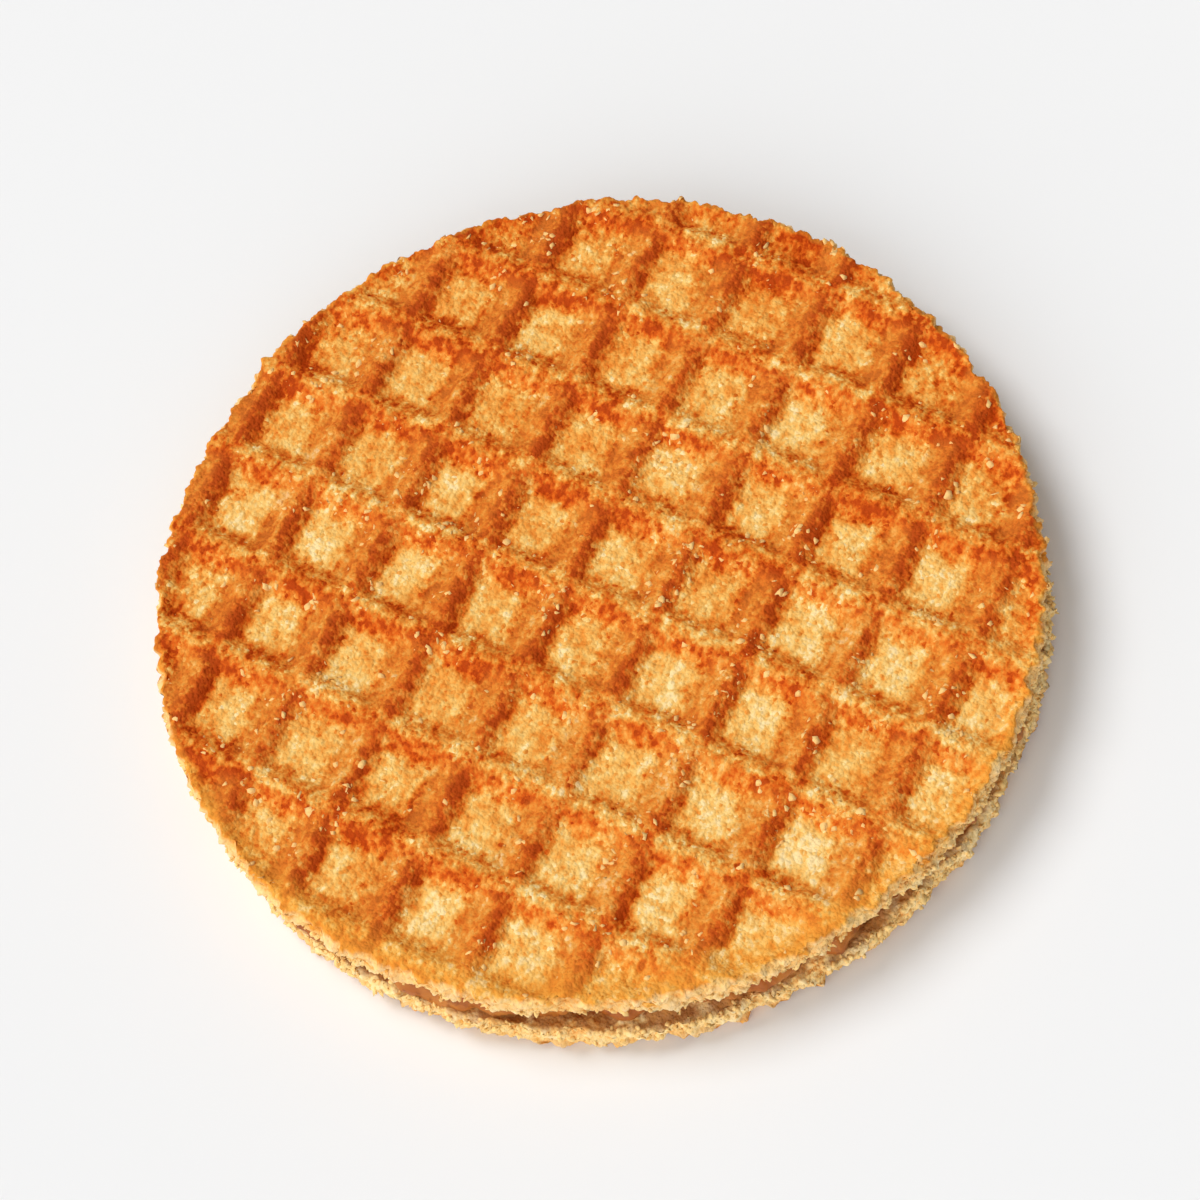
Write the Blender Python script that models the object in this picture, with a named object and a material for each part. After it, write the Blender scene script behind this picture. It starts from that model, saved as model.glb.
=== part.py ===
"""A stroopwafel: two thin round wafer halves with a layer of caramel syrup between them.

The waffle is baked in a grid iron, punched out round and slit through its thickness, so each
half has square pits on its outer face, a flat inner face and a plain cut rim. The biscuit lies
flat on the XY plane, with its origin at the middle of its underside and its grid along X and Y.
"""

import math

import bmesh
import bpy

MM = 0.001

# The biscuit as a whole, in metres
BISCUIT_RADIUS = 42.0 * MM
WAFER_THICKNESS = 3.2 * MM
SYRUP_THICKNESS = 1.0 * MM
LAYER_GAP = 0.3 * MM
SYRUP_INSET = 0.8 * MM
HALVES_SLIP = 0.35 * MM

# The grid that the iron presses into the outer faces
PITCH_X = 9.3 * MM
PITCH_Y = 9.6 * MM
PIT_FLOOR = 4.8 * MM
PIT_FLANK = 1.5 * MM
PIT_DEPTH = 0.9 * MM
LINES_PER_PITCH = 4

# The middle of one pit of each half's grid. A ridge crossing of the underside is at the origin.
PIT_TOP = (2.0 * MM, -6.0 * MM)
PIT_BOTTOM = (PITCH_X / 2, PITCH_Y / 2)

# The top face falls away towards the rim, and the outer edge of each rim is worn down.
CROWN = 0.25 * MM
RIM_WEAR = 0.4 * MM

# How an outline strays from a circle: swells round the rim, their share of the radius, phase
STRAY_TOP = ((2, 0.005, 0.9), (3, 0.004, 2.2), (7, 0.002, 1.1), (12, 0.002, 4.2))
STRAY_BOTTOM = ((2, 0.004, 2.6), (4, 0.003, 0.3), (9, 0.003, 5.1), (14, 0.002, 1.7))
STRAY_SYRUP = ((3, 0.004, 1.4), (5, 0.005, 3.3), (8, 0.004, 0.6))
OUTLINE_POINTS = 120

# How far a punch and its blank reach past what they cut
CLEARANCE = 2.0 * MM

WAFER_ROUGHNESS = 0.8
SYRUP_ROUGHNESS = 0.25


def srgb(code):
    """A colour such as "#e18b3e" as the linear red, green, blue and alpha that a shader takes."""
    shares = [int(code[start : start + 2], 16) / 255 for start in (1, 3, 5)]
    linear = [share / 12.92 if share <= 0.04045 else ((share + 0.055) / 1.055) ** 2.4 for share in shares]
    return (*linear, 1.0)


def give_material(thing, name, colour, roughness):
    """Gives an object a plain material of its own."""
    material = bpy.data.materials.new(name)
    material.use_nodes = True
    shader = material.node_tree.nodes["Principled BSDF"]
    shader.inputs["Base Color"].default_value = srgb(colour)
    shader.inputs["Roughness"].default_value = roughness
    shader.inputs["Metallic"].default_value = 0.0
    thing.data.materials.append(material)


def add_object(name, bm):
    """Turns a bmesh into a named object whose faces point outwards."""
    bmesh.ops.recalc_face_normals(bm, faces=bm.faces)
    mesh = bpy.data.meshes.new(name)
    bm.to_mesh(mesh)
    bm.free()
    thing = bpy.data.objects.new(name, mesh)
    bpy.context.collection.objects.link(thing)
    return thing


def outline(radius, stray, centre):
    """The points of an uneven round outline, anticlockwise."""
    points = []
    for step in range(OUTLINE_POINTS):
        angle = math.tau * step / OUTLINE_POINTS
        swell = sum(share * math.sin(swells * angle + phase) for swells, share, phase in stray)
        reach = radius * (1 + swell)
        points.append((centre[0] + reach * math.cos(angle), centre[1] + reach * math.sin(angle)))
    return points


def middle_of(points):
    """The middle of the box round some points."""
    return [(min(values) + max(values)) / 2 for values in zip(*points)]


def prism(name, rings):
    """A closed body through rings of points, each at its own height."""
    bm = bmesh.new()
    loops = [[bm.verts.new((x, y, height)) for x, y in points] for height, points in rings]
    for lower, upper in zip(loops, loops[1:]):
        for this in range(OUTLINE_POINTS):
            after = (this + 1) % OUTLINE_POINTS
            bm.faces.new((lower[this], lower[after], upper[after], upper[this]))
    bm.faces.new(loops[0])
    bm.faces.new(loops[-1])
    return add_object(name, bm)


def grid_lines(pitch, pit_middle):
    """Where the relief changes slope along one axis, from past one side of the rim to the other."""
    reach = BISCUIT_RADIUS + CLEARANCE
    first = math.floor((-reach - pit_middle) / pitch)
    last = math.ceil((reach - pit_middle) / pitch)
    floor_edge = PIT_FLOOR / 2
    ridge_edge = floor_edge + PIT_FLANK
    edges = (-ridge_edge, -floor_edge, floor_edge, ridge_edge)
    return [pit_middle + pitch * pit + edge for pit in range(first, last + 1) for edge in edges]


def pit_depth(x, y, pit):
    """How far the outer face lies under its ridge tops: the pits have flat floors and sloping sides."""
    share = 1.0
    for place, middle, pitch in ((x, pit[0], PITCH_X), (y, pit[1], PITCH_Y)):
        off_middle = abs((place - middle + pitch / 2) % pitch - pitch / 2)
        down_flank = (PIT_FLOOR / 2 + PIT_FLANK - off_middle) / PIT_FLANK
        share = min(share, max(0.0, down_flank))
    return PIT_DEPTH * share


def crown_drop(x, y):
    """How far the top face falls away from its middle."""
    return CROWN * (x * x + y * y) / BISCUIT_RADIUS**2


def blank(name, pit, outer, inner, crowned):
    """A square of waffle: the grid on its outer face, and a flat inner face."""
    side = 1 if outer > inner else -1
    bm = bmesh.new()
    rows = []
    for y in grid_lines(PITCH_Y, pit[1]):
        row = []
        for x in grid_lines(PITCH_X, pit[0]):
            drop = pit_depth(x, y, pit) + (crown_drop(x, y) if crowned else 0.0)
            row.append(bm.verts.new((x, y, outer - side * drop)))
        rows.append(row)
    for j, (near, far) in enumerate(zip(rows, rows[1:])):
        for i in range(len(near) - 1):
            a, b, c, d = near[i], near[i + 1], far[i + 1], far[i]
            # The cut across a pit's corner cell runs up its mitre, from the floor to the ridge.
            mitre_rises = i % LINES_PER_PITCH == j % LINES_PER_PITCH
            triangles = ((a, b, c), (a, c, d)) if mitre_rises else ((a, b, d), (b, c, d))
            for triangle in triangles:
                bm.faces.new(triangle)
    walls = bmesh.ops.extrude_edge_only(bm, edges=[edge for edge in bm.edges if edge.is_boundary])
    for item in walls["geom"]:
        if isinstance(item, bmesh.types.BMVert):
            item.co.z = inner
    bmesh.ops.edgeloop_fill(bm, edges=[edge for edge in bm.edges if edge.is_boundary])
    return add_object(name, bm)


def wafer(name, pit, outer, inner, crowned, stray, centre, colour):
    """One wafer half: a blank punched out along an uneven round outline."""
    half = blank(name, pit, outer, inner, crowned)
    side = 1 if outer > inner else -1
    edge = outer - side * (RIM_WEAR + (CROWN if crowned else 0.0))
    beyond = outer + side * CLEARANCE
    worn_radius = BISCUIT_RADIUS - abs(beyond - edge)
    rings = [
        (inner - side * CLEARANCE, outline(BISCUIT_RADIUS, stray, centre)),
        (edge, outline(BISCUIT_RADIUS, stray, centre)),
        (beyond, outline(worn_radius, stray, centre)),
    ]
    punch = prism(f"punch_{name}", rings)
    punch.hide_render = True
    punch.display_type = "WIRE"
    cut = half.modifiers.new("Punched out round", "BOOLEAN")
    cut.operation = "INTERSECT"
    cut.solver = "EXACT"
    cut.object = punch
    give_material(half, f"Baked {name}", colour, WAFER_ROUGHNESS)
    return half


def main():
    for leftover in list(bpy.data.objects):
        bpy.data.objects.remove(leftover)

    # The halves slip a little apart along X and against Y. Both outlines together are centred.
    slip = (HALVES_SLIP, -HALVES_SLIP)
    top_points = outline(BISCUIT_RADIUS, STRAY_TOP, (-slip[0], -slip[1]))
    bottom_points = outline(BISCUIT_RADIUS, STRAY_BOTTOM, slip)
    middle = middle_of(top_points + bottom_points)
    centre_top = (-slip[0] - middle[0], -slip[1] - middle[1])
    centre_bottom = (slip[0] - middle[0], slip[1] - middle[1])

    slit = WAFER_THICKNESS
    syrup_low = slit + LAYER_GAP
    syrup_high = syrup_low + SYRUP_THICKNESS
    top_low = syrup_high + LAYER_GAP
    top_high = top_low + WAFER_THICKNESS

    biscuit = bpy.data.objects.new("stroopwafel", None)
    bpy.context.collection.objects.link(biscuit)

    bottom = wafer("wafer_bottom", PIT_BOTTOM, 0.0, slit, False, STRAY_BOTTOM, centre_bottom, "#d98a3e")
    top = wafer("wafer_top", PIT_TOP, top_high, top_low, True, STRAY_TOP, centre_top, "#e18b3e")

    syrup_outline = outline(BISCUIT_RADIUS - SYRUP_INSET, STRAY_SYRUP, (0.0, 0.0))
    syrup = prism("syrup_filling", [(syrup_low, syrup_outline), (syrup_high, syrup_outline)])
    give_material(syrup, "Caramel syrup", "#9a5426", SYRUP_ROUGHNESS)

    for piece in (bottom, syrup, top):
        piece.parent = biscuit


main()
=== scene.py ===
"""The looks of a stroopwafel: two crumbly waffle halves, the caramel between them and loose crumbs.

The file is laid out as an add-on. Each operator makes one piece or one group of like pieces round
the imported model, and the panel lists them. Run as a script, it makes them all in order.
"""

import math
from functools import partial

import bpy
import numpy as np
from bpy.props import FloatProperty, FloatVectorProperty, IntProperty, PointerProperty
from mathutils import Matrix, Vector, noise


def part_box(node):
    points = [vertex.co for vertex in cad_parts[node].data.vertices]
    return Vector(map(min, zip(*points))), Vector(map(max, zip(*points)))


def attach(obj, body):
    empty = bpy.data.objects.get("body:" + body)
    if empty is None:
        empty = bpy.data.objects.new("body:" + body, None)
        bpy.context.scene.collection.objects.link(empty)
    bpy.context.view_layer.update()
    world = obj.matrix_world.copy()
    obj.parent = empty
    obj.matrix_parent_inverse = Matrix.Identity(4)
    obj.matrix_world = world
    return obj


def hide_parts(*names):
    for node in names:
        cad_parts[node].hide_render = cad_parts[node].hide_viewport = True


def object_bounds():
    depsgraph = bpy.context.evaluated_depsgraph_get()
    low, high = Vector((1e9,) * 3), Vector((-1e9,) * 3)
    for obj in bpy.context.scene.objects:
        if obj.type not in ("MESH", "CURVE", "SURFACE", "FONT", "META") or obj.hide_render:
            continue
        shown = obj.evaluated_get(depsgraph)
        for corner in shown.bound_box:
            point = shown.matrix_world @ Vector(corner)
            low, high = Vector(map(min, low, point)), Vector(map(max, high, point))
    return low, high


bl_info = {
    "name": "Stroopwafel",
    "version": (1, 0, 0),
    "blender": (4, 5, 0),
    "location": "View3D > Sidebar > Stroopwafel",
    "description": "Builds the crust, caramel and crumbs of a stroopwafel round its packed model",
    "category": "Add Mesh",
}

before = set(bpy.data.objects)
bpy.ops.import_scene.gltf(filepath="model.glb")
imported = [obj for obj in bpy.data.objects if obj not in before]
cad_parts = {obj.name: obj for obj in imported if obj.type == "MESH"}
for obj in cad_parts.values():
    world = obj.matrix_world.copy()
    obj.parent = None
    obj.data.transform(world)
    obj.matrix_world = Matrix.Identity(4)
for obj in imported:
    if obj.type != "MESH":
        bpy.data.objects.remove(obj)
CAD_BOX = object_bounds()

MM = 0.001
BODY = "root"

# The heights of the layers and the biscuit's radius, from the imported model
BOTTOM_LOW, BOTTOM_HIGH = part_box("wafer_bottom")
SYRUP_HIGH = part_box("syrup_filling")[1]
TOP_LOW, TOP_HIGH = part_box("wafer_top")
RADIUS = (TOP_HIGH.x - TOP_LOW.x) / 2

# The side of the biscuit that baked least
PALE_ANGLE = math.radians(-60)
PALE_SIDE = (math.cos(PALE_ANGLE), math.sin(PALE_ANGLE), 0.0)

# The grid's lines sway, and its pits are shallower right at the rim, where the punch squeezed it.
SWAY = 1.8 * MM
SQUEEZED_WIDTH = 2.2 * MM
SQUEEZED_DEPTH = 0.35
DEPTH_SPREAD = (0.8, 1.12)

# The bumps of the outer faces from broad to fine, the chips out of their edge, and the torn rim
DOME = 0.3 * MM
SWELL = 0.4 * MM
LUMP = 0.6 * MM
CHIP = 0.4 * MM
CHIPPED_WIDTH = (0.3 * MM, 1.2 * MM)
TORN_WIDTH = 1.2 * MM
SEAM_WAVE = 3.4 * MM
PROUD = 0.06 * MM

# How a blank's edge is rounded off: how far in a ring of points lies, and its share of the wear
WEAR = 0.3 * MM
WORN_EDGE = ((0.7 * MM, 0.0), (0.5 * MM, 0.05), (0.3 * MM, 0.2), (0.12 * MM, 0.5))
EDGE_WIDTH = 0.9 * MM

# Hidden faces have few points: how far in a ring of them lies, and one point in how many it keeps
INNER_RINGS = ((0.3 * MM, 2), (0.9 * MM, 4), (2 * MM, 8), (4 * MM, 16), (10 * MM, 16), (20 * MM, 32))
SYRUP_RINGS = ((1.5 * MM, 2), (4 * MM, 4), (12 * MM, 16), (30 * MM, 32))

# The bottom half shows less, so its mesh is coarser.
COARSER = 1.15

# The syrup reaches into both halves, and its edge bulges towards the rim.
SYRUP_OVERLAP = 0.5 * MM
SYRUP_INSET = 0.9 * MM
SYRUP_BULGE = 0.8 * MM
SYRUP_ROWS = 8
OOZING_WIDTH = 3 * MM
OOZE_SIZE = 4 * MM

# Loose crumbs lie in clusters, a little sunk in the crust, and none stands far above the ridges.
CLUSTER_SIZE = 3.2 * MM
CRUMB_SHOVE = 0.75 * MM
CRUMB_SINK = 0.16 * MM
CRUMB_HEIGHT = 0.2 * MM
FLAKE_WIDTH = 0.9 * MM

# The floor reaches this far each way, in metres.
FLOOR_REACH = 4.0

# The kinds of node that do most of the work, and the setting for a soft slope
MATH = "ShaderNodeMath"
VECTOR = "ShaderNodeVectorMath"
RANGE = "ShaderNodeMapRange"
NOISE = "ShaderNodeTexNoise"
SMOOTH = {"interpolation_type": "SMOOTHSTEP"}

# Sockets of a colour Mix node
MIX_A = 6
MIX_B = 7
MIX_RESULT = 2

# The middle of a noise's colour, and half a step of the grid
HALVES = (0.5, 0.5, 0.5)

# What lengths, places on the grid and colours have in common as settings
LENGTH = {"unit": "LENGTH"}
GRID_PLACE = {"size": 2, "subtype": "XYZ_LENGTH", "unit": "LENGTH"}
COLOUR = {"size": 4, "min": 0, "max": 1, "subtype": "COLOR"}


def linear(code):
    """An sRGB hex colour as linear red, green, blue and alpha."""
    shares = [int(code[start : start + 2], 16) / 255 for start in (1, 3, 5)]
    return [s / 12.92 if s <= 0.04045 else ((s + 0.055) / 1.055) ** 2.4 for s in shares] + [1.0]


# -------------------------------- settings


class WaferSettings(bpy.types.PropertyGroup):
    """The waffle grid, the mesh and the colours of the two baked halves."""

    pitch: FloatVectorProperty(
        name="Pitch",
        description="From one pit to the next along X and Y",
        default=(9.3 * MM, 9.6 * MM),
        **GRID_PLACE,
    )
    pit_floor: FloatProperty(
        name="Pit floor", description="Width of a pit's flat floor", default=5.2 * MM, **LENGTH
    )
    pit_flank: FloatProperty(
        name="Pit flank", description="Width of a pit's sloping side", default=1.9 * MM, **LENGTH
    )
    pit_depth: FloatProperty(
        name="Pit depth", description="From a ridge's top to a pit's floor", default=0.85 * MM, **LENGTH
    )
    top_pit: FloatVectorProperty(
        name="Top pit",
        description="The middle of one pit of the top half",
        default=(2.0 * MM, -6.0 * MM),
        **GRID_PLACE,
    )
    bottom_pit: FloatVectorProperty(
        name="Bottom pit",
        description="The middle of one pit of the bottom half",
        default=(4.65 * MM, 4.8 * MM),
        **GRID_PLACE,
    )
    crown: FloatProperty(
        name="Crown", description="Fall of the top face towards the rim", default=0.25 * MM, **LENGTH
    )
    grain: FloatProperty(
        name="Grain", description="Spacing of the mesh on the outer faces", default=0.31 * MM, **LENGTH
    )
    rim_grain: FloatProperty(
        name="Rim grain", description="Spacing of the mesh on the cut rim", default=0.165 * MM, **LENGTH
    )
    ledge: FloatProperty(
        name="Ledge", description="Width of the inner face that shows below", default=2.2 * MM, **LENGTH
    )
    jag: FloatProperty(
        name="Jag", description="How far the torn crumb of the rim strays", default=0.55 * MM, **LENGTH
    )
    # The colour of the brown lines beside the ridges: browning, with painted shade
    bands: FloatVectorProperty(
        name="Bands", description="Dark bands beside the ridges", default=linear("#c95d20"), **COLOUR
    )
    # The colour of painted shade that dulls the flanks the key lamp lights
    ochre: FloatVectorProperty(
        name="Ochre", description="Dull strips beside the dark bands", default=linear("#d4812f"), **COLOUR
    )
    gilding: FloatVectorProperty(
        name="Gilding", description="Crust near the rim's pale side", default=linear("#f0a63c"), **COLOUR
    )
    soaked: FloatVectorProperty(
        name="Soaked", description="Inner faces, soaked with syrup", default=linear("#b26a28"), **COLOUR
    )


class CaramelSettings(bpy.types.PropertyGroup):
    """The edge and the colours of the syrup that shows in the seam."""

    ooze: FloatProperty(
        name="Ooze", description="How far the syrup's edge wanders", default=1.3 * MM, **LENGTH
    )
    segment: FloatProperty(
        name="Segment", description="Spacing of the mesh round the syrup's edge", default=0.3 * MM, **LENGTH
    )
    syrup: FloatVectorProperty(
        name="Syrup", description="The syrup where it is thick", default=linear("#ad6024"), **COLOUR
    )
    glow: FloatVectorProperty(
        name="Glow", description="The syrup where light gets through it", default=linear("#c67c35"), **COLOUR
    )
    burnt: FloatVectorProperty(
        name="Burnt", description="The darkest spots of the syrup", default=linear("#85431a"), **COLOUR
    )


class CrumbSettings(bpy.types.PropertyGroup):
    """The loose crumbs on the ridges and the torn ones at the rim."""

    face_density: FloatProperty(
        name="Face crumbs", description="Crumbs for each square metre of ridge", default=1.7e6, min=0
    )
    rim_density: FloatProperty(
        name="Rim crumbs", description="Crumbs for each square metre of rim", default=1.9e6, min=0
    )
    smallest: FloatProperty(
        name="Smallest", description="Size of the finest crumb", default=0.35 * MM, **LENGTH
    )
    largest: FloatProperty(
        name="Largest", description="Size of the coarsest crumb", default=0.95 * MM, **LENGTH
    )
    seed: IntProperty(name="Seed", description="Changes where the crumbs fall", default=7)
    darker: FloatVectorProperty(
        name="Toasted", description="The darkest crumbs", default=linear("#dd9447"), **COLOUR
    )
    dry: FloatVectorProperty(
        name="Dry", description="The palest crumbs", default=linear("#ffd98f"), **COLOUR
    )
    browned: FloatVectorProperty(
        name="Browned", description="Spots on every crumb", default=linear("#e0944a"), **COLOUR
    )


class StageSettings(bpy.types.PropertyGroup):
    """The floor, the lights and the camera."""

    azimuth: FloatProperty(
        name="Azimuth", description="Way the camera faces", default=math.radians(45.3), subtype="ANGLE"
    )
    elevation: FloatProperty(
        name="Elevation", description="Camera above the horizon", default=math.radians(63.7), subtype="ANGLE"
    )
    roll: FloatProperty(
        name="Roll", description="Turn about the line of sight", default=math.radians(19.85), subtype="ANGLE"
    )
    lens: FloatProperty(name="Lens", description="Focal length in millimetres", default=90.0)
    fill: FloatProperty(
        name="Fill",
        description="Share of the frame's width that the biscuit takes",
        default=0.74,
        subtype="FACTOR",
    )
    key: FloatProperty(name="Key light", description="Strength of the key lamp", default=1.96)
    fill_light: FloatProperty(name="Fill light", description="Strength of the low fill lamp", default=2.6)
    sky: FloatProperty(name="Sky", description="Strength of the even light from all round", default=0.27)
    backdrop: FloatProperty(
        name="Backdrop", description="Brightness of the sky behind the floor", default=0.91
    )


SETTINGS = {
    "waffle_wafers": WaferSettings,
    "waffle_caramel": CaramelSettings,
    "waffle_crumbs": CrumbSettings,
    "waffle_stage": StageSettings,
}


# -------------------------------- node trees


def add_node(tree, kind, inputs=(), stops=(), **settings):
    """Adds a node with its settings. Each input is a value, or the node or socket that feeds it.

    The inputs are given in order or by name. The stops of a colour ramp are places from 0 to 1,
    each with its hex colour.
    """
    node = tree.nodes.new(kind)
    for name, value in settings.items():
        setattr(node, name, value)
    for count, (place, code) in enumerate(stops):
        if count > 1:
            node.color_ramp.elements.new(place)
    for element, (place, code) in zip(node.color_ramp.elements if stops else (), stops):
        element.position = place
        element.color = linear(code)
    named = inputs if isinstance(inputs, dict) else dict(enumerate(inputs))
    for key, source in named.items():
        if isinstance(source, bpy.types.Node):
            source = source.outputs[0]
        if isinstance(source, bpy.types.NodeSocket):
            tree.links.new(source, node.inputs[key])
        else:
            node.inputs[key].default_value = source
    return node


def overlap(tree, *masks):
    """Where masks meet: their product."""
    together = masks[0]
    for mask in masks[1:]:
        together = add_node(tree, MATH, (together, mask), operation="MULTIPLY")
    return together


def band(tree, value, rise, fall):
    """A mask that is one between two slopes, each given by the values where it starts and ends."""
    return overlap(
        tree,
        add_node(tree, RANGE, (value, *rise, 0.0, 1.0), **SMOOTH),
        add_node(tree, RANGE, (value, *fall, 1.0, 0.0), **SMOOTH),
    )


def add_up(tree, total, terms):
    """A total with more values added to it, each times its weight."""
    for value, weight in terms:
        total = add_node(tree, MATH, (value, weight, total), operation="MULTIPLY_ADD")
    return total


def new_geometry_tree(name, sockets):
    """A geometry tree with a Geometry socket at each end, and rows of inputs of one kind each."""
    tree = bpy.data.node_groups.new(name, "GeometryNodeTree")
    tree.interface.new_socket("Geometry", in_out="OUTPUT", socket_type="NodeSocketGeometry")
    tree.interface.new_socket("Geometry", in_out="INPUT", socket_type="NodeSocketGeometry")
    for kind, labels in sockets:
        for label in labels:
            tree.interface.new_socket(label, in_out="INPUT", socket_type="NodeSocket" + kind)
    return tree, add_node(tree, "NodeGroupInput").outputs


def run_tree(thing, tree, values):
    """Runs a geometry tree on an object and keeps the result as its plain mesh."""
    modifier = thing.modifiers.new(tree.name, "NODES")
    modifier.node_group = tree
    for item in tree.interface.items_tree:
        if item.in_out == "INPUT" and item.name in values:
            modifier[item.identifier] = values[item.name]
    depsgraph = bpy.context.evaluated_depsgraph_get()
    made = bpy.data.meshes.new_from_object(
        thing.evaluated_get(depsgraph), preserve_all_data_layers=True, depsgraph=depsgraph
    )
    blank = thing.data
    thing.modifiers.remove(modifier)
    thing.data = made
    made.name = thing.name
    for place in reversed([place for place, material in enumerate(made.materials) if not material]):
        made.materials.pop(index=place)
    bpy.data.meshes.remove(blank)


def grid_places(node, given, place, sway):
    """Where a point lies on the grid: its pit's number, then X and Y off the pit and off the ridges.

    The grid's lines sway a little and fray, as the batter shrinks when it bakes.
    """
    sway = node(VECTOR, (sway, HALVES), operation="SUBTRACT")
    swayed = node(VECTOR, (sway, (SWAY,) * 3, place), operation="MULTIPLY_ADD")
    from_pit = node(VECTOR, (swayed, given["Pit"]), operation="SUBTRACT")
    steps = node(VECTOR, (from_pit, given["Pitch"]), operation="DIVIDE")
    half_on = node(VECTOR, (steps, HALVES), operation="ADD")
    nearest = node(VECTOR, (half_on,), operation="FLOOR")
    cell = node(VECTOR, (nearest, (1, 1, 0)), operation="MULTIPLY")
    part = node(VECTOR, (steps,), operation="FRACTION")
    places = []
    for whole, middle in ((steps, cell), (part, HALVES)):
        off_middle = node(VECTOR, (whole, middle), operation="SUBTRACT")
        off_middle = node(VECTOR, (off_middle, given["Pitch"]), operation="MULTIPLY")
        places += node("ShaderNodeSeparateXYZ", (off_middle,)).outputs[:2]
    return cell, *places


def bake_marks(tree, off_pit, off_ridge, slope, facing, inset, level):
    """Masks for the outer face: pale pits, painted highlights on crests, brown lines of browning and painted
    shade, and dull strips of painted shade.
    """
    node = partial(add_node, tree)
    (pit_x, pit_y), (ridge_x, ridge_y) = off_pit, off_ridge

    # The pits' gold fades towards the rim. It is set off towards the flank the key lamp shades and held back
    # from the lit one: painted light and painted shade.
    fading = node(RANGE, (facing, -0.3, 0.6, 8.0 * MM, 5.0 * MM))
    gold = overlap(
        tree,
        band(tree, pit_x, (-3.3 * MM, -2.4 * MM), (0.9 * MM, 2.4 * MM)),
        band(tree, pit_y, (-3.1 * MM, -2.1 * MM), (1.8 * MM, 2.9 * MM)),
        node(RANGE, (inset, 0.0, fading, 0.15, 1.0), **SMOOTH),
        level,
    )

    # Ridges along X get a painted highlight on the crest, between two brown lines. Ridges along Y get
    # browning with painted shade on the side away from the key lamp.
    off_crest = node(MATH, (ridge_y, 0.35 * MM), operation="SUBTRACT")
    off_crest = node(MATH, (off_crest,), operation="ABSOLUTE")
    # The crest's mask is a painted highlight along the ridges along X.
    crest = node(RANGE, (off_crest, 0.3 * MM, 1.3 * MM, 1.0, 0.0), **SMOOTH)
    # Browning with painted shade on the flank of the ridges along Y that faces away from the key lamp
    painted_shade_and_browning = overlap(
        tree,
        band(tree, ridge_x, (-0.8 * MM, 0.4 * MM), (0.7 * MM, 1.7 * MM)),
        node(RANGE, (crest, 0.0, 1.0, 1.0, 0.45)),
    )
    # Brown lines beside the crests: browning of both flanks, with painted shade making the line on the flank
    # that the fill lamp lights much darker
    twin_lines = overlap(
        tree,
        band(tree, off_crest, (0.4 * MM, 1.0 * MM), (1.6 * MM, 2.4 * MM)),
        node(RANGE, (ridge_y, -1.0 * MM, 1.0 * MM, 0.62, 0.05)),
    )
    # Painted shade on the flank of the ridges along Y that faces the key lamp, dulling it
    key_lit_flank = band(tree, ridge_x, (-3.0 * MM, -2.0 * MM), (-0.9 * MM, 0.4 * MM))
    clear_of_dark = node(MATH, (1.0, painted_shade_and_browning), operation="SUBTRACT")
    return {
        "pit": gold,
        "brown": overlap(tree, node(MATH, (painted_shade_and_browning, twin_lines), operation="MAXIMUM"), level),
        "crest": overlap(tree, crest, clear_of_dark, level),
        "ochre": overlap(tree, key_lit_flank, slope, level),
    }


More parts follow.
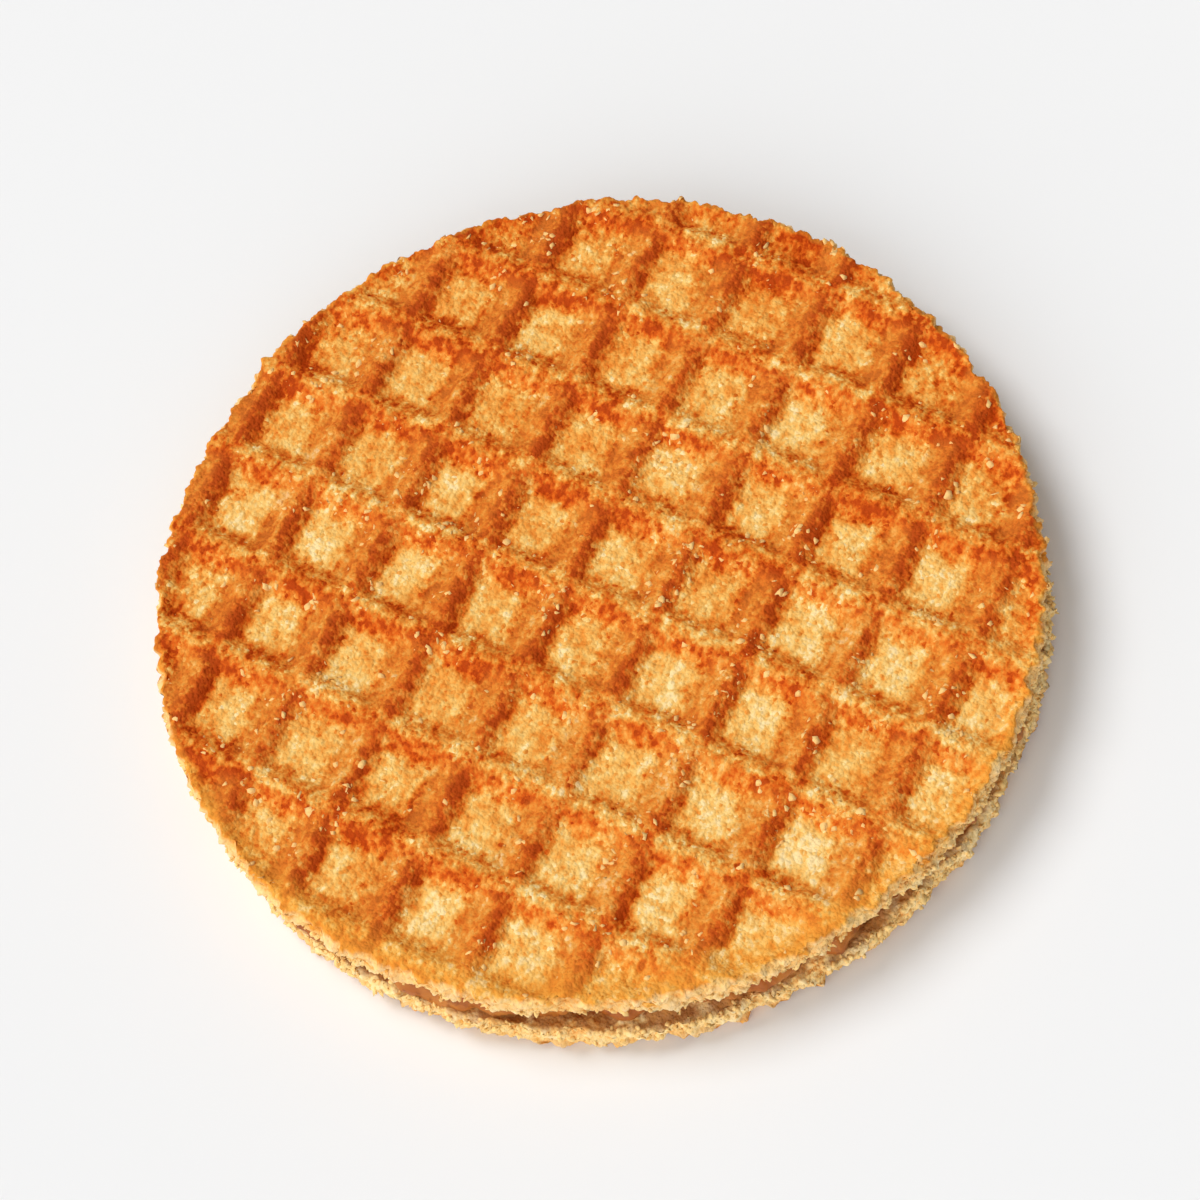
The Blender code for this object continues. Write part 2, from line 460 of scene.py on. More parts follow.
def relief_tree():
    """Presses the waffle grid into a blank's outer face, and roughens its face and torn rim."""
    tree, given = new_geometry_tree(
        "Pressed waffle grid",
        [
            ("Vector", ("Pitch", "Pit")),
            ("Float", ("Pit Floor", "Pit Flank", "Pit Depth", "Crown", "Radius")),
            ("Float", ("Side", "Proud", "Jag", "Seed")),
            ("Material", ("Material",)),
        ],
    )
    node = partial(add_node, tree)
    seed = given["Seed"]
    place = node("GeometryNodeInputPosition").outputs[0]
    inset, level = (
        node("GeometryNodeInputNamedAttribute", {"Name": name}, data_type="FLOAT").outputs[0]
        for name in ("inset", "level")
    )
    flat = node(VECTOR, (place, (1, 1, 0)), operation="MULTIPLY")
    outward = node(VECTOR, (flat,), operation="NORMALIZE")
    facing = node(VECTOR, (outward, PALE_SIDE), operation="DOT_PRODUCT").outputs["Value"]
    noises = {}
    for name, size, detail, roughness in (
        ("sway", 5.0 * MM, 3.0, 0.75),
        ("dome", 18.0 * MM, 1.0, 0.5),
        ("swell", 2.6 * MM, 2.0, 0.5),
        ("lump", 0.85 * MM, 2.0, 0.6),
        ("chip", 1.8 * MM, 4.0, 0.65),
        ("bite", 5.0 * MM, 2.0, 0.5),
        ("tear", 0.45 * MM, 1.0, 0.5),
        ("seam", 2.6 * MM, 4.0, 0.65),
    ):
        inputs = {"Vector": place, "W": seed, "Scale": 1 / size, "Detail": detail, "Roughness": roughness}
        noises[name] = node(NOISE, inputs, noise_dimensions="4D")
    sway = noises["sway"].outputs["Color"]
    cell, pit_x, pit_y, ridge_x, ridge_y = grid_places(node, given, place, sway)

    # One is a pit's floor and zero a ridge's crest. The flank between them is a smooth slope.
    floor_edge = node(MATH, (given["Pit Floor"], 0.5), operation="MULTIPLY")
    crest_edge = node(MATH, (floor_edge, given["Pit Flank"]), operation="ADD")
    slopes = []
    for across in (pit_x, pit_y):
        aside = node(MATH, (across,), operation="ABSOLUTE")
        slopes.append(node(RANGE, (aside, floor_edge, crest_edge, 1.0, 0.0), **SMOOTH))

    # Each pit has its own depth.
    inputs = {"Vector": cell, "W": seed}
    chance = node("ShaderNodeTexWhiteNoise", inputs, noise_dimensions="4D").outputs[0]
    squeezed = node(RANGE, (inset, 0.0, SQUEEZED_WIDTH, SQUEEZED_DEPTH, 1.0), **SMOOTH)
    own_depth = node(RANGE, (chance, 0.0, 1.0, *DEPTH_SPREAD))
    drop = overlap(tree, *slopes, squeezed, own_depth, given["Pit Depth"])

    # The crown, then bumps from broad to fine
    reach = node(VECTOR, (flat,), operation="LENGTH").outputs["Value"]
    reach = node(MATH, (reach, given["Radius"]), operation="DIVIDE")
    drop = add_up(tree, drop, [(node(MATH, (reach, 2.0), operation="POWER"), given["Crown"])])
    for bump, rise in ((noises["dome"], DOME), (noises["swell"], SWELL), (noises["lump"], LUMP)):
        drop = add_up(tree, drop, [(node(MATH, (0.5, bump), operation="SUBTRACT"), rise)])

    # Chips are broken off along the rim, most of them on the side that baked least.
    chipped_width = node(RANGE, (facing, 0.1, 0.9, *CHIPPED_WIDTH), **SMOOTH)
    easily = node(RANGE, (inset, 0.0, chipped_width, 0.1, -0.3), **SMOOTH)
    chip = node(MATH, (noises["chip"], easily), operation="ADD")
    chip = node(RANGE, (chip, 0.5, 0.58, 0.0, 1.0), **SMOOTH)
    drop = add_up(tree, drop, [(chip, CHIP)])
    highest = node(MATH, (given["Proud"], -1.0), operation="MULTIPLY")
    drop = overlap(tree, node(MATH, (drop, highest), operation="MAXIMUM"), level, given["Side"])

    # The torn crumb of the rim moves in and out in bites and clods, and up and down at the seam.
    torn = add_up(tree, -2.0, [(noises["bite"], 2.8), (noises["tear"], 1.2)])
    for size, part in ((1.7 * MM, 1.0), (0.8 * MM, 0.7)):
        inputs = {"Vector": place, "W": seed, "Scale": 1 / size, "Randomness": 1.0}
        clod = node("ShaderNodeTexVoronoi", inputs, voronoi_dimensions="4D")
        torn = add_up(tree, torn, [(node(MATH, (0.5, clod), operation="SUBTRACT"), 2 * part)])
    at_rim = node(RANGE, (inset, 0.0, TORN_WIDTH, 1.0, 0.0), **SMOOTH)
    stray = overlap(tree, torn, given["Jag"], at_rim)
    sideways = node(VECTOR, {0: outward, "Scale": stray}, operation="SCALE")
    hidden = node(MATH, (1.0, level), operation="SUBTRACT")
    wave = overlap(tree, node(MATH, (noises["seam"], 0.5), operation="SUBTRACT"), hidden)
    lift = add_up(tree, node(MATH, (drop, -1.0), operation="MULTIPLY"), [(wave, SEAM_WAVE)])
    offset = node(VECTOR, (node("ShaderNodeCombineXYZ", {"Z": lift}), sideways), operation="ADD")

    # The crust is drawn down over the edge of the rim, to a ragged line. The crumb under it is bare.
    frayed = node(MATH, (noises["chip"], 0.5), operation="SUBTRACT")
    hem = node(RANGE, (given["Side"], -1.0, 1.0, 0.0, 0.35))
    edge = add_up(tree, level, [(frayed, 0.5), (hem, 1.0)])
    bare = node(RANGE, (edge, 0.57, 0.95, 1.0, 0.0), **SMOOTH)
    bare = node(MATH, (overlap(tree, chip, 0.7), bare), operation="MAXIMUM")

    # What the crust's finish reads
    marks = bake_marks(tree, (pit_x, pit_y), (ridge_x, ridge_y), slopes[1], facing, inset, level)
    marks["tone"] = chance
    marks["lump"] = noises["lump"]
    marks["bare"] = bare
    # How far the torn rim stands out, from which the finish paints shade into its hollows
    marks["torn"] = node(RANGE, (torn, -1.3, 1.1, 0.0, 1.0))
    shape = given["Geometry"]
    for name, value in marks.items():
        inputs = {"Geometry": shape, "Name": name, "Value": value}
        shape = node("GeometryNodeStoreNamedAttribute", inputs, data_type="FLOAT", domain="POINT")
    shape = node("GeometryNodeSetPosition", {"Geometry": shape, "Offset": offset})
    shape = node("GeometryNodeRealizeInstances", {"Geometry": shape})
    shape = node("GeometryNodeSetMaterial", {"Geometry": shape, "Material": given["Material"]})
    node("NodeGroupOutput", (shape,))
    return tree


def crumb_tree():
    """Scatters small broken lumps over the parts of a surface that an attribute marks."""
    tree, given = new_geometry_tree(
        "Scattered crumbs",
        [
            ("String", ("Where",)),
            ("Float", ("Density", "Smallest", "Largest", "Darkest", "Palest")),
            ("Vector", ("Least Stretch", "Most Stretch", "Sink", "Lowest", "Highest")),
            ("Int", ("Seed",)),
            ("Material", ("Material",)),
        ],
    )
    node = partial(add_node, tree)
    seed = given["Seed"]
    marked = node("GeometryNodeInputNamedAttribute", {"Name": given["Where"]}, data_type="FLOAT")
    inputs = {"Mesh": given["Geometry"], "Density": overlap(tree, marked, given["Density"]), "Seed": seed}
    spread = node("GeometryNodeDistributePointsOnFaces", inputs, distribute_method="RANDOM")
    chance = node("FunctionNodeRandomValue", {"Seed": seed}, data_type="FLOAT").outputs[1]
    mostly_small = node(MATH, (chance, 2.0), operation="POWER")
    size = node(RANGE, {0: mostly_small, 3: given["Smallest"], 4: given["Largest"]})
    stretch, turn = (
        node("FunctionNodeRandomValue", {0: least, 1: most, "Seed": seed}, data_type="FLOAT_VECTOR")
        for least, most in (
            (given["Least Stretch"], given["Most Stretch"]),
            ((-0.6, -0.6, 0.0), (0.6, 0.6, math.tau)),
        )
    )
    scale = node(VECTOR, {0: stretch, "Scale": size}, operation="SCALE")
    inputs = {0: spread.outputs["Rotation"], 1: turn}
    turn = node("FunctionNodeRotateRotation", inputs, rotation_space="LOCAL")
    lump = node("GeometryNodeMeshIcoSphere", {"Radius": 0.5, "Subdivisions": 1})
    inputs = {"Points": spread, "Instance": lump, "Rotation": turn, "Scale": scale}
    strewn = node("GeometryNodeInstanceOnPoints", inputs)
    tone = node(RANGE, {0: chance, 3: given["Darkest"], 4: given["Palest"]})
    inputs = {"Geometry": strewn, "Name": "tone", "Value": tone}
    strewn = node("GeometryNodeStoreNamedAttribute", inputs, data_type="FLOAT", domain="INSTANCE")
    loose = node("GeometryNodeRealizeInstances", {"Geometry": strewn})

    # Each lump is broken out of round by a noise about as coarse as itself, and none lies too high.
    place = node("GeometryNodeInputPosition")
    break_up = node(NOISE, {"Vector": place, "Scale": 1 / (0.25 * MM), "Detail": 1.0})
    shove = node(VECTOR, (break_up.outputs["Color"], HALVES), operation="SUBTRACT")
    place = node(VECTOR, (shove, (CRUMB_SHOVE,) * 3, place), operation="MULTIPLY_ADD")
    place = node(VECTOR, (place, given["Sink"]), operation="SUBTRACT")
    place = node(VECTOR, (place, given["Lowest"]), operation="MAXIMUM")
    place = node(VECTOR, (place, given["Highest"]), operation="MINIMUM")
    loose = node("GeometryNodeSetPosition", {"Geometry": loose, "Position": place})
    loose = node("GeometryNodeSetMaterial", {"Geometry": loose, "Material": given["Material"]})
    node("NodeGroupOutput", (loose,))
    return tree


# -------------------------------- finishes


def new_material(name, roughness, gleam):
    """A material, and its shader with a roughness and a strength of gleam."""
    material = bpy.data.materials.new(name)
    material.use_nodes = True
    shader = material.node_tree.nodes["Principled BSDF"]
    shader.inputs["Roughness"].default_value = roughness
    shader.inputs["Specular IOR Level"].default_value = gleam
    return material, shader


def cover(tree, shader, colour, height, strength, depth):
    """Gives a shader its colour, and fine bumps from a height."""
    bump = add_node(tree, "ShaderNodeBump", {"Height": height, "Strength": strength, "Distance": depth})
    tree.links.new(colour, shader.inputs["Base Color"])
    tree.links.new(bump.outputs[0], shader.inputs["Normal"])


def lay_over(tree, colour, layers):
    """Lays tints over a colour, each as thick as its mask."""
    for mask, tint in layers:
        inputs = {0: mask, MIX_A: colour, MIX_B: tint}
        colour = add_node(tree, "ShaderNodeMix", inputs, data_type="RGBA").outputs[MIX_RESULT]
    return colour


def patches(tree, place, size, low, high, most=1.0):
    """A mask from a noise of some size: nothing under low, and most over high."""
    pattern = add_node(tree, NOISE, {"Vector": place, "Scale": 1 / size, "Detail": 2.0})
    return add_node(tree, RANGE, (pattern, low, high, 0.0, most), **SMOOTH)


def crust_finish(settings):
    """Baked waffle crust: matt and mottled.

    It is gold on the pit floors, orange on the ridges and cream where it is torn.
    """
    material, shader = new_material("Baked waffle crust", roughness=0.75, gleam=0.08)
    tree = material.node_tree
    node = partial(add_node, tree)
    place = node("ShaderNodeTexCoord").outputs["Object"]
    marks = {
        name: node("ShaderNodeAttribute", attribute_name=name).outputs["Fac"]
        for name in ("pit", "brown", "crest", "ochre", "tone", "lump", "bare", "torn", "inset", "level")
    }

    # Mottling in several sizes, each with its weight. The finest grain is drawn as coarse as it needs
    # to be to show.
    streaks = node("ShaderNodeMapping", {"Vector": place, "Scale": (1.0, 0.75, 1.0)})
    grains = node("ShaderNodeTexVoronoi", {"Vector": place, "Scale": 1 / (0.36 * MM)})
    grain_tone = node("ShaderNodeSeparateColor", (grains.outputs["Color"],)).outputs[0]
    mottles = [(grain_tone, 0.15), (marks["lump"], 0.9)]
    for size, weight in ((0.7 * MM, 1.4), (12 * MM, 0.75), (2.2 * MM, 1.15)):
        inputs = {"Vector": streaks, "Scale": 1 / size, "Detail": 2.0}
        mottles.append((node(NOISE, inputs), weight))
    mottle = add_up(tree, -0.5 * sum(weight for pattern, weight in mottles), mottles)
    even = node(RANGE, {0: marks["pit"], 3: 1.0, 4: 0.6})
    pit_tone = node(RANGE, {0: marks["tone"], 3: 0.22, 4: 0.4})
    clustered = node(RANGE, (mottles[-1][0], 0.45, 0.62, 0.15, 1.0))
    pale_grains = overlap(tree, node(RANGE, (grain_tone, 0.84, 1.0, 0.0, 1.0)), clustered)
    dark_grains = node(RANGE, (grain_tone, 0.0, 0.12, 1.0, 0.0))

    # The crust turns golden near the pale side of the rim, and is darker near the rest of it.
    towards = node(VECTOR, (place,), operation="NORMALIZE")
    side = node(VECTOR, (towards, PALE_SIDE), operation="DOT_PRODUCT").outputs["Value"]
    width = node(RANGE, (side, 0.2, 0.9, 0.6 * MM, 5.0 * MM))
    near_rim = node(RANGE, {0: marks["inset"], 2: width, 3: 1.0, 4: 0.0})
    across = node(VECTOR, (place, PALE_SIDE), operation="DOT_PRODUCT").outputs["Value"]
    darker = overlap(
        tree,
        node(RANGE, (marks["inset"], 0.0, 7.0 * MM, 1.0, 0.0), **SMOOTH),
        node(RANGE, (side, -0.2, 0.8, 1.0, 0.0)),
    )

    # How pale the crust is, from zero at its darkest to one. It takes in the crests' painted highlight and
    # the brown lines' browning and painted shade.
    weights = (
        (mottle, even),
        (marks["pit"], pit_tone),
        (marks["crest"], 0.09),
        (marks["brown"], -0.26),
        (pale_grains, 0.24),
        (dark_grains, -0.18),
        (near_rim, 0.05),
        (darker, -0.1),
        (across, 0.05 / RADIUS),
    )
    paleness = add_up(tree, 0.39, weights)
    bake = (
        (0.0, "#ad3900"),
        (0.18, "#d35b0f"),
        (0.36, "#e17e28"),
        (0.52, "#ea963c"),
        (0.68, "#f1b157"),
        (0.84, "#f6c874"),
        (1.0, "#fcdea0"),
    )
    crust = node("ShaderNodeValToRGB", (paleness,), stops=bake)

    # The crumb is cream where it stands out. The brown in its holes is painted shade, drawn from how deep
    # the torn rim lies, over the real grain.
    fine = node(NOISE, {"Vector": place, "Scale": 1 / (0.5 * MM), "Detail": 3.0})
    grain_and_hollow_shade = add_up(tree, -0.4, [(marks["torn"], 0.7), (fine, 1.2)])
    crumb_stops = ((0.0, "#c0742e"), (0.18, "#f8bb6a"), (0.4, "#ffd88e"), (1.0, "#ffe9b8"))
    crumb = node("ShaderNodeValToRGB", (grain_and_hollow_shade,), stops=crumb_stops)
    # The brown lines: browning of the flanks, with painted shade
    browned = overlap(tree, marks["brown"], 0.3)
    # Painted shade that dulls the flanks the key lamp lights
    painted_shade_on_lit_flank = overlap(tree, marks["ochre"], 0.5)
    gilded = overlap(tree, near_rim, 0.58)
    # Syrup soaks the inner face, which shows along the seam.
    soaked = overlap(
        tree,
        node(RANGE, (marks["level"], 0.0, 0.06, 1.0, 0.0)),
        node(RANGE, (marks["inset"], 0.2 * MM, 0.9 * MM, 0.0, 0.85), **SMOOTH),
        patches(tree, place, 3 * MM, 0.33, 0.5),
    )
    tints = [
        (browned, settings.bands),
        (painted_shade_on_lit_flank, settings.ochre),
        (gilded, settings.gilding),
        (marks["bare"], crumb),
        (soaked, settings.soaked),
    ]
    dimples = node(NOISE, {"Vector": place, "Scale": 1 / (0.45 * MM), "Detail": 2.0})
    height = add_up(tree, dimples, [(grains, -0.5)])
    cover(tree, shader, lay_over(tree, crust, tints), height, strength=1.0, depth=0.2 * MM)
    return material


def caramel_finish(settings):
    """Caramel syrup: a sticky, half glossy brown with a lighter glow in patches."""
    material, shader = new_material("Caramel syrup", roughness=0.38, gleam=0.2)
    shader.inputs["IOR"].default_value = 1.49
    tree = material.node_tree
    place = add_node(tree, "ShaderNodeTexCoord").outputs["Object"]
    glow = patches(tree, place, 3 * MM, 0.4, 0.7, 0.8)
    burnt = patches(tree, place, 0.8 * MM, 0.5, 0.75, 0.7)
    colour = lay_over(tree, settings.syrup, [(glow, settings.glow), (burnt, settings.burnt)])
    ripple = add_node(tree, NOISE, {"Vector": place, "Scale": 1 / (0.9 * MM), "Detail": 2.0})
    cover(tree, shader, colour, ripple, strength=0.7, depth=0.2 * MM)
    return material


def crumb_finish(settings):
    """Dry waffle crumb: matt, from light gold to cream from one crumb to the next."""
    material, shader = new_material("Dry waffle crumb", roughness=0.8, gleam=0.0)
    tree = material.node_tree
    place = add_node(tree, "ShaderNodeTexCoord").outputs["Object"]
    tone = add_node(tree, "ShaderNodeAttribute", attribute_name="tone").outputs["Fac"]
    browned = patches(tree, place, 0.4 * MM, 0.5, 0.8, 0.45)
    colour = lay_over(tree, settings.darker, [(tone, settings.dry), (browned, settings.browned)])
    grain = add_node(tree, NOISE, {"Vector": place, "Scale": 1 / (0.25 * MM), "Detail": 2.0})
    cover(tree, shader, colour, grain, strength=0.8, depth=0.08 * MM)
    return material


# -------------------------------- shapes


def add_object(name, data):
    """Puts a new object into the scene."""
    thing = bpy.data.objects.new(name, data)
    bpy.context.scene.collection.objects.link(thing)
    return thing


class Shell:
    """A closed shell in the making: points with their inset and level, and triangles."""

    def __init__(self):
        self.points = []
        self.traits = []
        self.faces = []
        self.count = 0

    def add(self, points, inset, level):
        """Adds points, and gives back their numbers."""
        points = np.atleast_2d(points)
        traits = np.empty((len(points), 2))
        traits[:, 0] = inset
        traits[:, 1] = level
        self.points.append(points)
        self.traits.append(traits)
        self.count += len(points)
        return np.arange(self.count - len(points), self.count)

    def zip(self, first, first_angles, second, second_angles):
        """Joins two closed rings with triangles. Both run anticlockwise from about the same angle."""
        rings = []
        for ring, angles in ((first, first_angles), (second, second_angles)):
            rings.append((list(ring) + [ring[0]], list(angles) + [angles[0] + math.tau]))
        (one, one_angles), (two, two_angles) = rings
        i = j = 0
        while i < len(first) or j < len(second):
            step_first = j == len(second) or (i < len(first) and one_angles[i + 1] < two_angles[j + 1])
            if step_first:
                self.faces.append((one[i], two[j], one[i + 1]))
                i += 1
            else:
                self.faces.append((one[i], two[j], two[j + 1]))
                j += 1

    def close(self, ring, point, level):
        """Closes the last ring onto one point in its middle."""
        hub = self.add(point, 0.0, level)[0]
        for this, after in zip(ring, np.roll(ring, -1)):
            self.faces.append((this, hub, after))

    def to_object(self, name, inside_out):
        """The shell as an object in the scene, with its attributes."""
        faces = np.array(self.faces)
        if inside_out:
            faces = faces[:, ::-1]
        mesh = bpy.data.meshes.new(name)
        mesh.from_pydata(np.vstack(self.points).tolist(), [], faces.tolist())
        for trait, values in zip(("inset", "level"), np.vstack(self.traits).T):
            store(mesh, trait, values)
        return add_object(name, mesh)


class Outline:
    """The rim of a packed disc, read from its own points as a reach for each angle."""

    def __init__(self, node, height):
        low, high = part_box(node)
        self.middle = np.array([(low.x + high.x) / 2, (low.y + high.y) / 2])
        points = np.array([vertex.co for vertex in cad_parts[node].data.vertices])
        rim = points[np.abs(points[:, 2] - height) < 0.01 * MM][:, :2] - self.middle
        angles, first = np.unique(np.round(np.arctan2(rim[:, 1], rim[:, 0]), 5), return_index=True)
        self.angles = angles
        self.reaches = np.hypot(rim[first, 0], rim[first, 1])

    def reach(self, angle):
        """From the middle to the rim at an angle."""
        return np.interp(angle, self.angles, self.reaches, period=math.tau)

    def ring(self, angles, inset, height):
        """Points along the rim, some way in from it, at one height."""
        reach = self.reach(angles) - inset
        across = self.middle + np.stack([np.cos(angles), np.sin(angles)], axis=1) * reach[:, None]
        return np.column_stack([across, np.full(len(angles), height)])


def ring_angles(count):
    """The angles of a ring's points, anticlockwise from straight back."""
    return -math.pi + math.tau * np.arange(count) / count


def lattice(shell, outline, spacing, margin, height, seed):
    """Fills the outline with a square lattice up to a margin, and gives back the lattice's rim."""
    half = math.ceil(outline.reaches.max() / spacing)
    x, y = np.meshgrid(np.arange(-half, half + 1) * spacing, np.arange(-half, half + 1) * spacing)
    free = outline.reach(np.arctan2(y, x)) - np.hypot(x, y)
    inside = free > margin
    whole = inside[:-1, :-1] & inside[1:, :-1] & inside[:-1, 1:] & inside[1:, 1:]
    used = np.zeros_like(inside)
    for down in (slice(None, -1), slice(1, None)):
        for along in (slice(None, -1), slice(1, None)):
            used[down, along] |= whole
    # The points are shaken a little, so that the lattice doesn't show in the crumb.
    shake = np.random.default_rng(seed).uniform(-0.2, 0.2, (2, *x.shape)) * spacing
    shake *= free > margin + 2 * spacing
    across = [(x + shake[0])[used] + outline.middle[0], (y + shake[1])[used] + outline.middle[1]]
    points = np.column_stack([*across, np.full(used.sum(), height)])
    numbers = np.full(used.shape, -1)
    numbers[used] = shell.add(points, free[used], 1.0)
    corners = [numbers[:-1, :-1], numbers[:-1, 1:], numbers[1:, 1:], numbers[1:, :-1]]
    a, b, c, d = (corner[whole] for corner in corners)
    rows, columns = np.nonzero(whole)
    leaning = (rows + columns) % 2 == 0
    shell.faces.extend(zip(a, b, np.where(leaning, c, d)))
    shell.faces.extend(zip(np.where(leaning, a, b), c, d))

    padded = np.pad(whole, 1)
    follows = {}
    sides = (((-1, 0), 0, 1), ((0, 1), 1, 2), ((1, 0), 2, 3), ((0, -1), 3, 0))
    for (row_step, column_step), start, end in sides:
        open_side = whole & ~padded[1 + row_step :, 1 + column_step :][: whole.shape[0], : whole.shape[1]]
        follows.update(zip(corners[start][open_side], corners[end][open_side]))
    loop = [next(iter(follows))]
    while follows[loop[-1]] != loop[0]:
        loop.append(follows[loop[-1]])
    loop = np.array(loop)
    across = np.vstack(shell.points)[loop, :2] - outline.middle
    angles = np.arctan2(across[:, 1], across[:, 0])
    start = int(np.argmin(angles))
    return np.roll(loop, -start), np.roll(angles, -start)


def wafer_blank(name, node, outer, inner, settings, seed):
    """A plain round wafer half: fine on its outer face and rim, coarse on the hidden inner face."""
    up = outer > inner
    outline = Outline(node, inner)
    shell = Shell()
    coarseness = 1.0 if up else COARSER
    rim_grain = settings.rim_grain * coarseness
    worn = WEAR if up else -WEAR
    ring, angles = lattice(shell, outline, settings.grain * coarseness, EDGE_WIDTH, outer, seed)
    count = round(math.tau * RADIUS / rim_grain)
    wall_rows = round(abs(outer - inner) / rim_grain)
    rows = [(inset, 1.0, outer - worn * wear, count) for inset, wear in WORN_EDGE]
    for row in range(wall_rows + 1):
        level = 1 - row / wall_rows
        rows.append((0.0, level, inner + (outer - worn - inner) * level, count))
    ledge = 0.0
    while ledge < settings.ledge and not up:
        ledge += rim_grain * 1.2
        rows.append((ledge, 0.0, inner, count))
    for inset, share in INNER_RINGS:
        rows.append((ledge + inset, 0.0, inner, count // share))
    for inset, level, height, points in rows:
        next_angles = ring_angles(points)
        next_ring = shell.add(outline.ring(next_angles, inset, height), inset, level)
        shell.zip(ring, angles, next_ring, next_angles)
        ring, angles = next_ring, next_angles
    shell.close(ring, (*outline.middle, inner), 0.0)
    return shell.to_object(name, not up)


def store(mesh, name, values):
    """Keeps a value for each point of a mesh."""
    mesh.attributes.new(name, "FLOAT", "POINT").data.foreach_set("value", values)


def read_back(mesh, name):
    """The values that a mesh keeps for its points."""
    values = np.empty(len(mesh.vertices))
    mesh.attributes[name].data.foreach_get("value", values)
    return values


def finish_piece(piece, node):
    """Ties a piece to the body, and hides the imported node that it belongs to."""
    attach(piece, BODY)
    if node:
        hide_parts(node)


# -------------------------------- operators


class WAFFLE_OT_wafers(bpy.types.Operator):
    """Make the two baked halves, with the waffle grid on their outer faces"""

    bl_idname = "waffle.wafers"
    bl_label = "Waffle halves"

    def execute(self, context):
        settings = context.scene.waffle_wafers
        tree = relief_tree()
        crust = crust_finish(settings)
        halves = (
            ("crust_top", "wafer_top", TOP_HIGH.z, TOP_LOW.z, settings.top_pit, settings.crown, 3),
            ("crust_bottom", "wafer_bottom", BOTTOM_LOW.z, BOTTOM_HIGH.z, settings.bottom_pit, 0.0, 11),
        )
        for name, node, outer, inner, pit, crown, seed in halves:
            half = wafer_blank(name, node, outer, inner, settings, seed)
            values = {
                "Pitch": (*settings.pitch, 1.0),
                "Pit": (*pit, 0.0),
                "Pit Floor": settings.pit_floor,
                "Pit Flank": settings.pit_flank,
                "Pit Depth": settings.pit_depth,
                "Crown": crown,
                "Radius": RADIUS,
                "Side": 1.0 if outer > inner else -1.0,
                "Proud": PROUD if outer > inner else 0.0,
                "Jag": settings.jag,
                "Seed": float(seed),
                "Material": crust,
            }
            run_tree(half, tree, values)
            half.data.shade_smooth()
            finish_piece(half, node)
        return {"FINISHED"}


class WAFFLE_OT_caramel(bpy.types.Operator):
    """Make the caramel layer, with its uneven edge in the seam"""

    bl_idname = "waffle.caramel"
    bl_label = "Caramel layer"

    def execute(self, context):
        settings = context.scene.waffle_caramel
        outline = Outline("syrup_filling", SYRUP_HIGH.z)
        low, high = BOTTOM_HIGH.z - SYRUP_OVERLAP, TOP_LOW.z + SYRUP_OVERLAP
        count = round(math.tau * RADIUS / settings.segment)
        shell = Shell()
        hub = shell.add((*outline.middle, high), 0.0, 0.0)[0]
        rows = [(inset, high, count // share) for inset, share in reversed(SYRUP_RINGS)]
        for step in range(SYRUP_ROWS + 1):
            inset = SYRUP_INSET - SYRUP_BULGE * math.sin(math.pi * step / SYRUP_ROWS)
            rows.append((inset, high + (low - high) * step / SYRUP_ROWS, count))
        rows += [(inset, low, count // share) for inset, share in SYRUP_RINGS]
        ring = None
        for inset, height, points in rows:
            next_angles = ring_angles(points)
            across = outline.ring(next_angles, inset, height)
            if inset < OOZING_WIDTH:
                for point in across:
                    wander = noise.fractal(Vector(point) / OOZE_SIZE, 0.8, 2.0, 3)
                    outward = np.append(point[:2] - outline.middle, 0.0)
                    point += outward / np.linalg.norm(outward) * wander * settings.ooze
            next_ring = shell.add(across, inset, 0.0)
            if ring is None:
                for this, after in zip(next_ring, np.roll(next_ring, -1)):
                    shell.faces.append((hub, this, after))
            else:
                shell.zip(ring, angles, next_ring, next_angles)
            ring, angles = next_ring, next_angles
        shell.close(ring, (*outline.middle, low), 0.0)
        caramel = shell.to_object("caramel", False)
        caramel.data.materials.append(caramel_finish(settings))
        caramel.data.shade_smooth()
        finish_piece(caramel, "syrup_filling")
        return {"FINISHED"}


